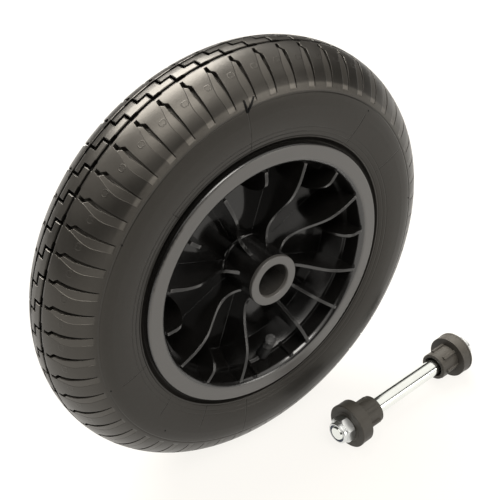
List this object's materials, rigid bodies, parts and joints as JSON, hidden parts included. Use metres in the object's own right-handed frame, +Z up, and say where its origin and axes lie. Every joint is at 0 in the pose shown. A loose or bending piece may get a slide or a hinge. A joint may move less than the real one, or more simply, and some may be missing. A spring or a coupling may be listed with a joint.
{
  "type": "pneumatic wheel with axle",
  "caption": "Black pneumatic barrow wheel with a ribbed plastic centre, and its steel axle with flanged plastic bushes and lock nuts lying beside it.",
  "frame": {"origin": "middle of the hub bore", "axes": "+Y along the hub bore from the front face to the back face, +X to the right seen from the front, +Z up"},
  "size_m": [0.4116, 0.1465, 0.371],
  "materials": {
    "tyre_rubber": "matte",
    "tube_rubber": "matte",
    "rim_plastic": "semi-gloss",
    "valve_brass": "machined",
    "cap_plastic": "gloss",
    "axle_steel": "bright",
    "nut_zinc": "zinc plated",
    "nylon_blue": "matte",
    "bush_plastic": "matte"
  },
  "bodies": {
    "wheel_and_axle": {"tyre": "tyre_rubber", "inner_tube": "tube_rubber", "rim": "rim_plastic", "valve_stem": "valve_brass", "valve_core": "valve_brass", "valve_cap": "cap_plastic", "axle_rod": "axle_steel", "nut_near": "nut_zinc", "nut_far": "nut_zinc", "nylon_ring_near": "nylon_blue", "nylon_ring_far": "nylon_blue"},
    "near_bush": {"bush_near": "bush_plastic"},
    "far_bush": {"bush_far": "bush_plastic"},
    "pin": {"core_pin": "valve_brass", "core_seal": "tube_rubber"}
  },
  "joints": [
    {"name": "near_bush_spin", "type": "hinge", "parent": "wheel_and_axle", "child": "near_bush", "pos_m": [0.0537, -0.0846, -0.164], "axis": [0.9988, 0.0489, 0], "continuous": true},
    {"name": "far_bush_spin", "type": "hinge", "parent": "wheel_and_axle", "child": "far_bush", "pos_m": [0.21151, -0.07688, -0.164], "axis": [0.9988, 0.0489, 0], "continuous": true},
    {"name": "valve_pin_press", "type": "slide", "parent": "wheel_and_axle", "child": "pin", "axis": [0.0606, 0.454, -0.8889], "range_m": [0, 0.0012], "stiffness_N_per_m": 300}
  ]
}
